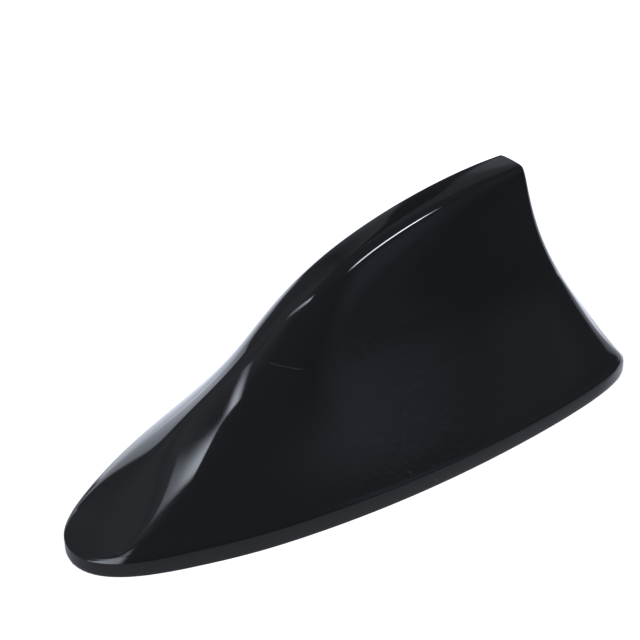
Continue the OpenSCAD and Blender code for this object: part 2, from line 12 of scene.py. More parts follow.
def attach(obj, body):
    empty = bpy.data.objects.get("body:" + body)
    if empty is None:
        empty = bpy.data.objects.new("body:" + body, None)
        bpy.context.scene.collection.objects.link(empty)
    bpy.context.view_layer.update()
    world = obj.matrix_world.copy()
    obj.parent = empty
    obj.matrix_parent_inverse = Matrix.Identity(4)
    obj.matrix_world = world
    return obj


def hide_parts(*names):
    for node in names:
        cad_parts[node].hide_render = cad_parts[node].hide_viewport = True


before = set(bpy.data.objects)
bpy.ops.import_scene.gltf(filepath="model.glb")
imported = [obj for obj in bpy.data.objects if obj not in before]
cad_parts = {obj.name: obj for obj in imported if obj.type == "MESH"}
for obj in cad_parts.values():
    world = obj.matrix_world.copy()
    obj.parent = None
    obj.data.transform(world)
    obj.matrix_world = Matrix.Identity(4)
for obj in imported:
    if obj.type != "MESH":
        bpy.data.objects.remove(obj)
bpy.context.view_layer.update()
scene, ops = bpy.context.scene, bpy.ops
MM = 0.001


# Camera: 39 degrees to the left of the side view and 34 degrees up, 454 mm from the aerial.

TURN, RISE, AWAY = math.radians(-39.3), math.radians(34.0), 0.4537
FOCAL_PX, SHIFT_X, SHIFT_Y, PICTURE_PX, SENSOR = 1724, 18.9, 110.4, 640, 36
back = Vector((math.sin(TURN) * math.cos(RISE), -math.cos(TURN) * math.cos(RISE), math.sin(RISE)))
right = Vector((math.cos(TURN), math.sin(TURN), 0))
upward = back.cross(right)


def placed(name, data):
    """A new object with this mesh, curve or camera."""
    made = bpy.data.objects.new(name, data)
    scene.collection.objects.link(made)
    return made


camera = placed("camera", bpy.data.cameras.new("camera"))
camera.data.sensor_width = SENSOR
camera.data.lens = FOCAL_PX / PICTURE_PX * SENSOR
camera.location = (back - right * SHIFT_X / FOCAL_PX + upward * SHIFT_Y / FOCAL_PX) * AWAY
camera.rotation_euler = Matrix((right, upward, back)).transposed().to_euler()
scene.camera = camera
scene.view_settings.view_transform = "Standard"


# Materials

def linear(hexcode):
    """An sRGB hex colour as linear RGBA."""
    parts = [int(hexcode[i:i + 2], 16) / 255 for i in (1, 3, 5)]
    return [c / 12.92 if c <= 0.04045 else ((c + 0.055) / 1.055) ** 2.4 for c in parts] + [1]


def add(tree, kind, links=None, **settings):
    """Adds one node; links gives what feeds its inputs, settings its values and options."""
    made = tree.nodes.new(kind)
    for name, value in settings.items():
        if hasattr(made, name):
            setattr(made, name, value)
        else:
            made.inputs[name.replace("_", " ")].default_value = value
    for name, source in (links or {}).items():
        tree.links.new(source, made.inputs[name])
    return made


def empty_tree(owner):
    owner.use_nodes = True
    owner.node_tree.nodes.clear()
    return owner.node_tree


def finish_tree(tree, shader, kind="ShaderNodeOutputMaterial"):
    tree.links.new(shader, tree.nodes.new(kind).inputs["Surface"])


# Stage: a white table and surround for the camera. Reflections see a dim room with two soft
# panels overhead, a window and stands round it, and a table with painted light, brighter at the far
# side.

TINT, WINDOW, PAPER = "#e3eaf8", "#d0def9", "#e6e6e6"
# How bright the room is at the horizon, above it, and how much more overhead.
HORIZON, ABOVE, OVERHEAD = 0.13, 0.18, 0.06
# Each patch of the room: its turn in degrees, the softness of its ends, its rise in degrees,
# the softness of its edges, how bright it is at its first and last end, its slant and its bow.
ROOM = (
    (-79, -51, 3.5, 48.3, 51.6, 2, 26, 50, 0.05, -0.015),      # panel over the side
    (-168, -120, 2, 59.6, 63.4, 1.5, 2, 8.3, -0.02, -0.004),   # panel over the nose
    (-186, -134, 4, 0, 37, 4, 7, 4),                           # lamp ahead of the nose
    (80, 94, 1, -90, 11, 2, 2.3, 1.3),                         # bright wall across from the nose
    (20, 48.5, 1.5, 12, 80, 6, 0.14, 0.1), (34, 47, 2, 14, 29, 3, 0.2, 0.2),  # pale stands
    (48.5, 60.5, 1, 10, 75, 5, -0.07, -0.07),                  # dark gap between them
    (60.5, 78, 1, 8, 80, 6, 0.24, 0.06), (86, 180, 6, 12, 85, 8, 0.1, 0.26),
    (-180, -135, 10, 12, 85, 8, 0.3, 0.05), (-50, -28, 6, 8, 40, 8, 0.06, 0.06))
SIDE_WINDOW = (-74, -54, 6, 2, 34, 8, 0.25, 0.13)
# The backdrop past the tail, and the table, 6 m wide. NEAR_X and NEAR_Y are the half lengths
# of the painted pool of light about the aerial; GLOW lifts the paper to white for the camera.
BACKDROP_LEAN, BACKDROP_BEND = 1.6, 7.5
TABLE_WIDE, NEAR_X, NEAR_Y, FAR_SLANT, GLOW = 6, 0.082, 0.036, 0.42, 0.64


def math_node(tree, operation, *values):
    """One calculation; values are numbers or sockets."""
    links = {k: v for k, v in enumerate(values) if not isinstance(v, (int, float))}
    made = add(tree, "ShaderNodeMath", links, operation=operation)
    for k, v in enumerate(values):
        if isinstance(v, (int, float)):
            made.inputs[k].default_value = v
    return made.outputs[0]


def coordinates(tree, kind="Object"):
    """X, Y and Z of a point of a piece, or with Generated those of a direction of the world."""
    place = add(tree, "ShaderNodeTexCoord").outputs[kind]
    return add(tree, "ShaderNodeSeparateXYZ", {0: place}).outputs


def turn_of(tree, way):
    """The turn about the upright axis, in degrees from X."""
    return math_node(tree, "DEGREES", math_node(tree, "ARCTAN2", way["Y"], way["X"]))


def distance(tree, x, y):
    """How far a point is from the origin of x and y."""
    squares = (math_node(tree, "MULTIPLY", value, value) for value in (x, y))
    return math_node(tree, "SQRT", math_node(tree, "ADD", *squares))


def tinted(tree, share, first, second):
    """A colour between two, each a hex code or a socket."""
    mix = add(tree, "ShaderNodeMix", {0: share}, data_type="RGBA")
    for socket, value in ((mix.inputs[6], first), (mix.inputs[7], second)):
        if isinstance(value, str):
            socket.default_value = linear(value)
        else:
            tree.links.new(value, socket)
    return mix.outputs[2]


def ramp(tree, value, start, end, low=0.0, high=1.0):
    """Runs smoothly from low to high while value runs from start to end."""
    return add(tree, "ShaderNodeMapRange", {"Value": value}, interpolation_type="SMOOTHSTEP",
               From_Min=start, From_Max=end, To_Min=low, To_Max=high).outputs[0]


def band(tree, value, low, high, soft):
    """1 where value lies between low and high, falling off over soft at both ends."""
    return math_node(tree, "MULTIPLY", ramp(tree, value, low - soft, low + soft),
                     ramp(tree, value, high + soft, high - soft))


def patch(tree, turn, rise, low, high, soft, under, over, fade, first, last, slant=0, bow=0):
    """Where a patch of the room lies, from 0 to 1, and its brightness along it."""
    if slant or bow:
        off = math_node(tree, "SUBTRACT", turn, (low + high) / 2)
        tilt = math_node(tree, "MULTIPLY_ADD", off, bow, slant)
        rise = math_node(tree, "SUBTRACT", rise, math_node(tree, "MULTIPLY", off, tilt))
    part = math_node(tree, "MULTIPLY", band(tree, turn, low, high, soft),
                     band(tree, rise, under, over, fade))
    return part, first if first == last else ramp(tree, turn, low, high, first, last)


def studio():
    world = bpy.data.worlds.new("studio")
    scene.world = world
    tree = empty_tree(world)
    rays = add(tree, "ShaderNodeLightPath")
    way = coordinates(tree, "Generated")
    turn = turn_of(tree, way)
    rise = math_node(tree, "DEGREES", math_node(tree, "ARCSINE", way["Z"]))
    level = math_node(tree, "ADD", ramp(tree, rise, -2, 26, HORIZON, ABOVE),
                      ramp(tree, rise, 40, 68, 0, OVERHEAD))
    # The backdrop brightens from its near end, which leans away as it rises.
    low = math_node(tree, "MINIMUM", rise, BACKDROP_BEND)
    past = math_node(tree, "SUBTRACT", turn, math_node(tree, "MULTIPLY", low, BACKDROP_LEAN))
    past = math_node(tree, "ADD", ramp(tree, past, -24, -19, 0, 0.9),
                     ramp(tree, past, -19, -5, 0, 0.7))
    past = math_node(tree, "MULTIPLY", past, ramp(tree, turn, 34, 24))
    level = math_node(tree, "MULTIPLY_ADD", past, ramp(tree, rise, 23, 17), level)
    for row in ROOM + (SIDE_WINDOW,):
        part, strength = patch(tree, turn, rise, *row)
        level = math_node(tree, "MULTIPLY_ADD", part, strength, level)
    colour = tinted(tree, rays.outputs["Is Glossy Ray"], "#ffffff", TINT)
    colour = tinted(tree, part, colour, WINDOW)
    room = add(tree, "ShaderNodeBackground", {"Color": colour, "Strength": level})
    white = add(tree, "ShaderNodeBackground", Color=(1, 1, 1, 1), Strength=1.0)
    mix = add(tree, "ShaderNodeMixShader", {0: rays.outputs["Is Camera Ray"],
              1: room.outputs[0], 2: white.outputs[0]})
    finish_tree(tree, mix.outputs[0], "ShaderNodeOutputWorld")


def table():
    ops.mesh.primitive_plane_add(size=TABLE_WIDE, location=(0, 0, 0))
    plane = bpy.context.object
    plane.name = "table"
    # White paper: the camera sees it white with the aerial's faint shadow.
    mat = bpy.data.materials.new("white_paper")
    tree = empty_tree(mat)
    rays = add(tree, "ShaderNodeLightPath")
    place = coordinates(tree)
    x, y = place["X"], place["Y"]
    # In reflections the table glows with painted light: dim, but a painted pool of light near the
    # aerial and painted window light far off under the window.
    away = distance(tree, math_node(tree, "DIVIDE", x, NEAR_X),
                    math_node(tree, "DIVIDE", y, NEAR_Y))
    near = ramp(tree, away, 2.6, 1.3, HORIZON, 0.5)
    side = band(tree, turn_of(tree, place), *SIDE_WINDOW[:3])
    near = math_node(tree, "MULTIPLY_ADD", side, ramp(tree, away, 5, 16, 0, 0.07), near)
    # Past a slanted line the painted light is bright, most of all beyond the tail.
    past = math_node(tree, "ADD", math_node(tree, "MULTIPLY_ADD", x, FAR_SLANT, y), 0.008)
    far_painted_light = math_node(tree, "ADD", ramp(tree, past, 0, 0.01), ramp(tree, past, 0.01, 0.12, 0, 1.6))
    far_painted_light = math_node(tree, "MULTIPLY", far_painted_light, ramp(tree, x, -0.064, -0.056))
    far_painted_light = math_node(tree, "MULTIPLY", far_painted_light, ramp(tree, away, 1.12, 1.4))
    far_painted_light = math_node(tree, "MULTIPLY", far_painted_light, ramp(tree, x, 0.09, 0.17, 0.95, 1.8))
    # Painted light: the glow that reflections see on the table, standing in for how lamps light it.
    painted_reflection_glow = add(tree, "ShaderNodeEmission", {"Strength": math_node(tree, "ADD", near, far_painted_light)},
                   Color=linear(TINT))
    paper = add(tree, "ShaderNodeBsdfDiffuse", Color=linear(PAPER))
    glow = add(tree, "ShaderNodeEmission", Color=(1, 1, 1, 1), Strength=GLOW)
    both = add(tree, "ShaderNodeAddShader", {0: paper.outputs[0], 1: glow.outputs[0]})
    mix = add(tree, "ShaderNodeMixShader", {0: rays.outputs["Is Camera Ray"],
              1: paper.outputs[0], 2: both.outputs[0]})
    mix = add(tree, "ShaderNodeMixShader", {0: rays.outputs["Is Glossy Ray"],
              1: mix.outputs[0], 2: painted_reflection_glow.outputs[0]})
    finish_tree(tree, mix.outputs[0])
    plane.data.materials.append(mat)


studio()
table()


# Cover: sections of the fin drawn with cubic splines and lofted from nose to tail.

LENGTH, WIDTH, HEIGHT, WALL = 165, 69.3, 61, 2.2
# The upright rim band: its height at the nose, how much it grows to the tail, its gap over the
# roof and the rounding of its lower edge.
RIM, RIM_GROW, LIFT, FOOT_EDGE = 4.2, 1.3, 0.1, 0.2
# The rear edge: its curve (1 is straight) and its rounding at the rim and at the top.
LEAN, EDGE_LOW, EDGE_TOP = 1.49, 2.4, 1.2
HALF_X, HALF_Y = LENGTH / 2, WIDTH / 2
# Guides from nose to tail: outline from above, spine from the side, the spine's half width, the
# softness of the flank's upper edge and of the spine's own edge, and the flank's hollow.
PLAN = np.array([[-1, 0], [-1, 0.29], [-0.697, 0.606], [-0.43, 0.808], [0.206, 1.053],
                 [0.94, 0.981], [0.952, 0.794]]) * (HALF_X, HALF_Y)
SPINE = np.vstack([[-HALF_X, RIM],
                   np.array([[-0.976, 0.082], [-0.752, 0.311], [-0.545, 0.484], [-0.345, 0.607],
                             [-0.109, 0.926], [0.449, 1.025], [0.697, 1]]) * (HALF_X, HEIGHT)])
SPINE_HALF = np.array([0, 24, 10, 8, 12.5, 11]) / 2
SOFTNESS = np.array([0.5, 5, 8, 2, 4, 0.9])
CROWN = np.array([0.5, 9.5, 8, 2.5, 2.5, 2.25])
HOLLOW = np.array([-0.02, -0.01, 0.07, 0.12])
FOOT_SOFT = 2.2


def pull(n, u):
    """Weights of n guide points of a clamped cubic spline at u from 0 to 1."""
    t = np.clip(np.asarray(u, float) * (n - 3), 0, n - 3 - 1e-6)
    knot = np.clip(np.arange(n + 4) - 3, 0, n - 3)
    w = [((knot[i] <= t) & (t < knot[i + 1])).astype(float) for i in range(n + 3)]
    for k in (1, 2, 3):
        for i in range(n + 3 - k):
            a, b, c, d = knot[i], knot[i + k], knot[i + 1], knot[i + k + 1]
            w[i] = (w[i] * (t - a) / (b - a) if b > a else 0) + (
                w[i + 1] * (d - t) / (d - c) if d > c else 0)
    return np.stack([w[i] * np.ones_like(t) for i in range(n)], -1)


def rim_top(inset):
    return RIM - 0.15 * inset


def sections(u, inset, deep, across):
    """Cross-sections at each u; inset is the wall, deep pulls the outline towards its middle."""
    u = np.atleast_1d(u)
    p, q = pull(7, u) @ PLAN, pull(8, u) @ SPINE
    half = np.minimum(pull(6, u) @ SPINE_HALF, 0.9 * p[:, 1]) * (1 - 0.16 * inset) - deep
    soft, crown, bow = pull(6, u) @ SOFTNESS, pull(6, u) @ CROWN, pull(4, u) @ HOLLOW
    wide = p[:, 1] * (1 - inset / HALF_Y) - deep
    top = q[:, 1] - inset * (0.9 - 0.75 * np.exp((RIM - q[:, 1]) / 4)) - deep
    rim = rim_top(inset) + (0 if inset else RIM_GROW) * u * (2 - u)
    foot = np.stack([wide, rim], -1)
    edge = np.stack([half, top], -1)
    run = edge - foot
    long = np.linalg.norm(run, axis=1, keepdims=True) + 0.001
    way = run / long
    out = np.stack([-way[:, 1], way[:, 0]], -1) * (bow[:, None] * long)
    share = np.minimum(soft[:, None] / long, 0.6)
    flank = (1 - share) * run
    guides = [np.stack([wide, np.full_like(wide, LIFT)], -1),
              np.stack([wide, (LIFT + rim) / 2], -1), foot,
              foot + way * np.minimum(FOOT_SOFT, 0.2 * long) + out * 0.4,
              foot + 0.39 * flank + out, foot + 0.67 * flank + out * 0.85, edge - share * run,
              np.stack([half - np.minimum(crown, 0.91 * half), top], -1),
              np.stack([np.zeros_like(top), top], -1)]
    near = [g * (-1, 1) for g in guides]
    ring = np.stack(near + guides[7::-1], 1)
    yz = pull(17, across) @ ring
    low = rim_top(inset)
    z = np.clip((yz[..., 1] - low) / (top[:, None] - low + 0.001), 0, 1)
    x = (1 - inset / HALF_X) * (p[:, :1] + (q[:, :1] - p[:, :1]) * (1 - (1 - z) ** LEAN))
    return np.concatenate([x[..., None], yz], -1)


def unit(v):
    """Vectors made one long."""
    return v / np.linalg.norm(v, axis=-1, keepdims=True)


def reach(inset, z):
    """How far the rounding of the rear edge reaches at height z, from 0 at the rim to 1."""
    return np.maximum(0.5, EDGE_LOW + (EDGE_TOP - EDGE_LOW) * z - (0.8 if inset else 0))


def rear_bow(inset):
    """How far the rear face is bowed, so that its middle is the tail's end."""
    k = np.array([1 - inset / HALF_X, 1 - inset / HALF_Y])
    e, q = (pull(7, [1.0]) @ PLAN * k)[0], (pull(7, [0.995]) @ PLAN * k)[0]
    t, a = unit(e - q), float(reach(inset, 0))
    return (HALF_X - inset - e[0] - a * t[0]) / (a + (e[1] + a * t[1] - a) / 2)


def skin(inset, stations, turns, strips, points):
    """Rows of points from nose to tail and the inner points of the rear face."""
    across = np.linspace(0, 1, 2 * points - 1)
    i = np.arange(1, stations + 1) / stations
    u = i - 0.09 * np.sin(2 * math.pi * i)
    rim, bow = rim_top(inset), rear_bow(inset)
    rows = list(sections(u, inset, 0, across))
    e, q, f = (sections([s], inset, d, across)[0] for s, d in ((1, 0), (0.995, 0), (1, 1)))
    z = np.clip((e[:, 2] - rim) / (e[points - 1, 2] - rim), 0, 1)[:, None]
    a, d, n = reach(inset, z), unit(e - q), f - e
    round_in = np.stack([bow * abs(n[:, 1]), n[:, 1], n[:, 2]], -1)
    for k in range(1, turns + 1):
        t = k / turns
        rows.append(e + a * d * (2 * t - t * t) + a * round_in * t * t)
    nose = np.stack([np.full(points, -HALF_X + inset), np.zeros(points),
                     np.linspace(LIFT, rim, points)], -1)
    last = rows[-1][:points - 1]
    s = (-1 + 2 * np.arange(1, strips) / strips)[None, :]
    face = np.stack([last[:, :1] - bow * last[:, 1:2] / 2 * (1 - s * s), -s * last[:, 1:2],
                     last[:, 2:3] + 0 * s], -1)
    return np.vstack([nose] + rows + [face.reshape(-1, 3)])


def skin_faces(rows, strips, points):
    """Quads over the rows and the rear face, and the ring of points at the rim's foot."""
    wide = 2 * points - 1

    def at(i, j):
        return (j if j < points else wide - 1 - j) if i == 0 else points + (i - 1) * wide + j

    def back_at(j, m):
        if m in (0, strips):
            return at(rows, j if m == 0 else wide - 1 - j)
        return points + rows * wide + j * (strips - 1) + m - 1

    faces = [(at(i, j), at(i + 1, j), at(i + 1, j + 1), at(i, j + 1))
             for i in range(rows) for j in range(wide - 1)]
    faces += [(back_at(j, m), back_at(j, m + 1), back_at(j + 1, m + 1), back_at(j + 1, m))
              for j in range(points - 2) for m in range(strips)]
    faces += [(back_at(points - 2, m), back_at(points - 2, m + 1), at(rows, points - 1))
              for m in range(strips)]
    ring = ([at(i, 0) for i in range(rows + 1)] + [back_at(0, m) for m in range(1, strips)]
            + [at(i, wide - 1) for i in range(rows, 0, -1)])
    return faces, ring


def moulded_cover():
    """The outer and the inner skin, joined at the foot, whose outer edge is rounded."""
    stations, turns, strips, fine, coarse = 230, 10, 24, 64, 17
    outer = skin(0, stations, turns, strips, fine)
    inner = skin(WALL, stations, turns, strips, coarse)
    low = np.clip(1 - (outer[:, 2:] - LIFT) / FOOT_EDGE, 0, 1)
    outer[:, :2] *= 1 - FOOT_EDGE * (1 - np.sqrt(1 - low ** 2)) / (HALF_X, HALF_Y)
    faces, foot = skin_faces(stations + turns, strips, fine)
    inside, foot_in = skin_faces(stations + turns, strips, coarse)
    shift = len(outer)
    faces += [tuple(v + shift for v in reversed(f)) for f in inside]
    n = len(foot)
    faces += [(foot[k], foot_in[k] + shift, foot_in[(k + 1) % n] + shift, foot[(k + 1) % n])
              for k in range(n)]
    mesh = bpy.data.meshes.new("gloss_cover")
    mesh.from_pydata((np.vstack([outer, inner]) * MM).tolist(), [], faces)
    mesh.validate()
    return placed("gloss_cover", mesh)


# Making the pieces: small steps of hand modelling. Points closer than MERGE mm are one, and
# edges sharper than CREASE are rounded.

MERGE, CREASE = 0.001, math.radians(30)

def only(piece):
    """Makes this piece the one that is selected and active."""
    ops.object.select_all(action="DESELECT")
    piece.select_set(True)
    bpy.context.view_layer.objects.active = piece


def applied(piece, kind, **settings):
    """Gives a piece one modifier and applies it."""
    only(piece)
    made = piece.modifiers.new(kind, kind)
    for name, value in settings.items():
        setattr(made, name, value)
    ops.object.modifier_apply(modifier=made.name)


def picked(piece, test):
    """Enters edit mode with the edges selected for which test is true."""
    only(piece)
    ops.object.mode_set(mode="EDIT")
    ops.mesh.select_mode(type="EDGE")
    ops.mesh.select_all(action="DESELECT")
    shape = bmesh.from_edit_mesh(piece.data)
    for edge in shape.edges:
        edge.select_set(test(edge))
    bmesh.update_edit_mesh(piece.data)


def cleaned(piece, flat=None):
    """Merges doubles, joins faces flat within so many degrees, and turns all faces outwards."""
    only(piece)
    ops.object.mode_set(mode="EDIT")
    ops.mesh.select_all(action="SELECT")
    ops.mesh.remove_doubles(threshold=MERGE * MM)
    if flat is not None:
        ops.mesh.dissolve_limited(angle_limit=math.radians(flat))
    ops.mesh.normals_make_consistent(inside=False)
    ops.object.mode_set(mode="OBJECT")


def settle(piece, finish, slot, *nodes, sharp=35):
    """Gives a finished piece its smooth shading, its finish and its place in the frame."""
    only(piece)
    ops.object.transform_apply(location=True, rotation=True, scale=True)
    ops.object.shade_smooth_by_angle(angle=math.radians(sharp))
    piece.data.materials.clear()
    for one in finish if isinstance(finish, tuple) else (finish,):
        piece.data.materials.append(one)
    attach(piece, "root")
    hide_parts(*nodes)


def rounded(piece, edge, segments, profile=0.5):
    """Rounds a piece's sharp edges by edge millimetres."""
    applied(piece, "BEVEL", width=edge * MM, segments=segments, limit_method="ANGLE",
            angle_limit=CREASE, profile=profile)


def softened(node, name, edge, segments=2, profile=0.5):
    """The solid of a node, merged, with its sharp edges rounded by edge millimetres."""
    piece = placed(name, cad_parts[node].data.copy())
    cleaned(piece, flat=0.5)
    rounded(piece, edge, segments, profile)
    return piece


def drawn(name, points, closed=False):
    """A line through points in millimetres, to be spun or swept."""
    mesh, count = bpy.data.meshes.new(name), len(points)
    mesh.from_pydata([[value * MM for value in point] for point in points],
                     [(k, (k + 1) % count) for k in range(count if closed else count - 1)], [])
    return placed(name, mesh)


def turned(name, profile, at, steps=72, edge=0, segments=3):
    """Spins a closed profile of (radius, height) points about the upright axis through at."""
    piece = drawn(name, [(at[0] + r, at[1], z) for r, z in profile], closed=True)
    only(piece)
    ops.object.mode_set(mode="EDIT")
    ops.mesh.select_all(action="SELECT")
    ops.mesh.spin(steps=steps, angle=2 * math.pi, axis=(0, 0, 1),
                  center=(at[0] * MM, at[1] * MM, 0))
    ops.object.mode_set(mode="OBJECT")
    cleaned(piece)
    if edge:
        rounded(piece, edge, segments)
    return piece


def cylinder(at, radius, low, high, sides=48):
    """An upright cylinder at (x, y) between two heights."""
    ops.object.select_all(action="DESELECT")
    ops.mesh.primitive_cylinder_add(vertices=sides, radius=radius * MM, depth=(high - low) * MM,
                                    location=(at[0] * MM, at[1] * MM, (low + high) / 2 * MM))
    piece = bpy.context.object
    ops.object.transform_apply(location=True, rotation=True, scale=True)
    return piece


def cut(piece, tool, operation="DIFFERENCE"):
    """Cuts the tool out of a piece, or joins it on, and takes the tool away."""
    applied(piece, "BOOLEAN", object=tool, operation=operation, solver="EXACT")
    bpy.data.objects.remove(tool)


def screw(name, head, tall, shank, length, slot_wide, slot_deep, pitch):
    """A cross-head screw with its head's top at -tall, the seat at 0 and the shank upwards."""
    piece = cylinder((0, 0), head, -tall, 0)
    picked(piece, lambda edge: all(v.co.z < -tall * 0.9 * MM for v in edge.verts))
    ops.mesh.bevel(offset=0.5 * tall * MM, segments=6, profile=0.6, affect="EDGES")
    ops.object.mode_set(mode="OBJECT")
    for turn in (0, math.pi / 2):
        ops.object.select_all(action="DESELECT")
        ops.mesh.primitive_cube_add(size=1, location=(0, 0, -tall * MM), rotation=(0, 0, turn))
        blade = bpy.context.object
        blade.scale = (head * 1.04 * MM, slot_wide * MM, 2 * slot_deep * MM)
        ops.object.transform_apply(location=True, rotation=True, scale=True)
        ops.object.mode_set(mode="EDIT")
        ops.mesh.select_all(action="DESELECT")
        shape = bmesh.from_edit_mesh(blade.data)
        for vert in shape.verts:
            vert.select_set(vert.co.z > -tall * MM)
        ops.transform.resize(value=(0.6, 0.6, 1), center_override=(0, 0, 0))
        ops.object.mode_set(mode="OBJECT")
        cut(piece, blade)
    # Thread: one pitch of its outline, swept up the shank.
    root, turns = shank * 0.78, int((length - 1.2) / pitch)
    thread = drawn(name + "_thread", [(r, 0, z * pitch) for r, z in (
        (root, 0), (shank, 0.4), (shank, 0.5), (root, 0.9), (root, 1))])
    applied(thread, "SCREW", axis="Z", screw_offset=pitch * MM, iterations=turns, steps=24,
            render_steps=24, use_merge_vertices=True, merge_threshold=1e-6)
    thread.data.transform(Matrix.Translation((0, 0, (length - 0.6 - (turns + 1) * pitch) * MM)))
    for vert in thread.data.vertices:
        tip = max(0, vert.co.z / MM - (length - 1.6)) / 1.6
        vert.co.x *= 1 - 0.7 * tip
        vert.co.y *= 1 - 0.7 * tip
    core = cylinder((0, 0), root * 0.97, -0.2, length - 0.9, 24)
    tip = cylinder((0, 0), root * 0.4, length - 1.2, length, 24)
    only(piece)
    for other in (core, tip, thread):
        other.select_set(True)
    ops.object.join()
    piece.name = name
    cleaned(piece)
    return piece


def screws(name, template, places, low, flipped, finish, node):
    """Copies of one screw, each with its own mesh, head down or head up; the last is the screw
    itself. Each is turned differently, as screws are."""
    for k, (x, y) in enumerate(places):
        piece = template
        if k < len(places) - 1:
            piece = placed(name, template.data.copy())
        piece.name = f"{name}_{k + 1}"
        turn = Matrix.Rotation(math.radians(25 + 67 * k), 4, "Z")
        over = Matrix.Rotation(math.pi, 4, "X") if flipped else Matrix()
        piece.data.transform(Matrix.Translation((x * MM, y * MM, low * MM)) @ over @ turn)
        settle(piece, finish, "zinc_steel", node, sharp=30)


# Places in millimetres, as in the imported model

# The well's middle, the base's floor, the base screws' seat and the board's top
WELL_X, FLOOR_Z, SEAT_Z, TOP_Z = 24.5, 3.4, 2.2, 20.4
SCREWS = [(x, side * y) for x, y in ((-51.5, 12.183), (-10, 20.371), (59.5, 20.954))
          for side in (-1, 1)]
POSTS = [(x, y) for x in (-0.3, 49.3) for y in (-9.3, 9.3)]
BOSS_R, BOSS_H, BOSS_BORE = 3.2, 8, 1.2
INLET_X, PART_X, CHOKE_Y, CAN_Y = -6.5, 29, -8, 7.7
# The choke's waist, from top of lower flange to underside of upper one, its radius, the flanges'
# radius and thickness, and the winding's wire and outer layer
WAIST_LOW, WAIST_TOP, WAIST_R, FLANGE_R, FLANGE, WIRE, LAYER_R = 21.2, 23.6, 1.5, 3, 0.8, 0.3, 2.45
# Undersides of the capacitor's can and of the grommet
CAN_Z, GROMMET_Z = 21.2, 13
COIL_X, COIL_R, COIL_Z, PITCH, TURNS, WIRE_TOP, COIL_WIRE_R = 42.3, 3.8, 23.4, 2.4, 8, 46.6, 0.4
# The pin marks on the well's roof, as (x, y) from its middle
PIN_MARK = (22, 9)
# The light scratch on the near flank, as (x, z) of its ends, and the middle of the wiped area
SCRATCH, WIPED = ((-26.6, 36.8), (-19.7, 34.2)), (0.5, -19, 20)


# Finishes: one shader each, with patterns laid over it at their real size

def started(name, colour, gloss, **settings):
    """A material with one Principled shader; gloss is its roughness."""
    made = bpy.data.materials.new(name)
    tree = empty_tree(made)
    shader = add(tree, "ShaderNodeBsdfPrincipled", Base_Color=linear(colour), Roughness=gloss,
                 **settings)
    finish_tree(tree, shader.outputs[0])
    return made, tree, shader


def share_of(tree, value, start, end):
    """Runs evenly from 0 to 1 while value runs from start to end."""
    return add(tree, "ShaderNodeMapRange", {"Value": value}, From_Min=start,
               From_Max=end).outputs[0]


def pattern(tree, kind, size, stretch=(1, 1, 1), turn=(0, 0, 0), **settings):
    """A pattern of so many mm on the piece itself."""
    place = add(tree, "ShaderNodeTexCoord").outputs["Object"]
    place = add(tree, "ShaderNodeMapping", {"Vector": place}, Rotation=turn, Scale=stretch)
    made = add(tree, kind, {"Vector": place.outputs[0]}, Scale=1 / (size * MM), **settings)
    return made.outputs[0]


def laid(tree, shader, kind, size, low=0.3, high=0.7, tones=None, gloss=None, depth=None,
         **settings):
    """Lays a pattern over a finish. size is in mm; low and high are the values it runs between;
    tones are its two colours, gloss its two roughnesses, depth how far in mm it stands out."""
    share = share_of(tree, pattern(tree, kind, size, **settings), low, high)
    painted(tree, shader, share, tones, gloss, depth)


def painted(tree, shader, share, tones=None, gloss=None, depth=None):
    """Lets a share from 0 to 1 carry two colours, two roughnesses or a height in mm."""
    if tones:
        mix = add(tree, "ShaderNodeMix", {0: share}, data_type="RGBA")
        mix.inputs[6].default_value, mix.inputs[7].default_value = (linear(t) for t in tones)
        tree.links.new(mix.outputs[2], shader.inputs["Base Color"])
    if gloss:
        level = add(tree, "ShaderNodeMapRange", {"Value": share}, To_Min=gloss[0], To_Max=gloss[1])
        tree.links.new(level.outputs[0], shader.inputs["Roughness"])
    if depth:
        under = shader.inputs["Normal"].links
        links = {"Height": share}
        if under:
            links["Normal"] = under[0].from_socket
        raised = add(tree, "ShaderNodeBump", links, Strength=1.0, Distance=depth * MM)
        tree.links.new(raised.outputs[0], shader.inputs["Normal"])


NOISE, CELLS = "ShaderNodeTexNoise", "ShaderNodeTexVoronoi"


def hairlines(tree):
    """Where wiping has left hairlines 0.1 mm wide, in two directions."""
    hair = 0.0
    for turn, size, low in (((0.2, 0.9, 0.3), 0.12, 0.66), ((-0.5, -0.4, 1.1), 0.16, 0.68)):
        lines = pattern(tree, NOISE, size, stretch=(0.012, 1, 1), turn=turn, Detail=0.0)
        hair = math_node(tree, "MAXIMUM", hair, share_of(tree, lines, low, low + 0.12))
    # They gather in rubbed areas some centimetres wide, and most of all on the near flank.
    rubbed = share_of(tree, pattern(tree, NOISE, 26, Detail=2.0), 0.42, 0.62)
    place = add(tree, "ShaderNodeTexCoord").outputs["Object"]
    wiped = add(tree, "ShaderNodeVectorMath", {0: place}, operation="DISTANCE")
    wiped.inputs[1].default_value = [value * MM for value in WIPED]
    wiped = ramp(tree, wiped.outputs["Value"], 34 * MM, 10 * MM)
    rubbed = math_node(tree, "MAXIMUM", math_node(tree, "MULTIPLY", rubbed, 0.35), wiped)
    return math_node(tree, "MULTIPLY", hair, rubbed)


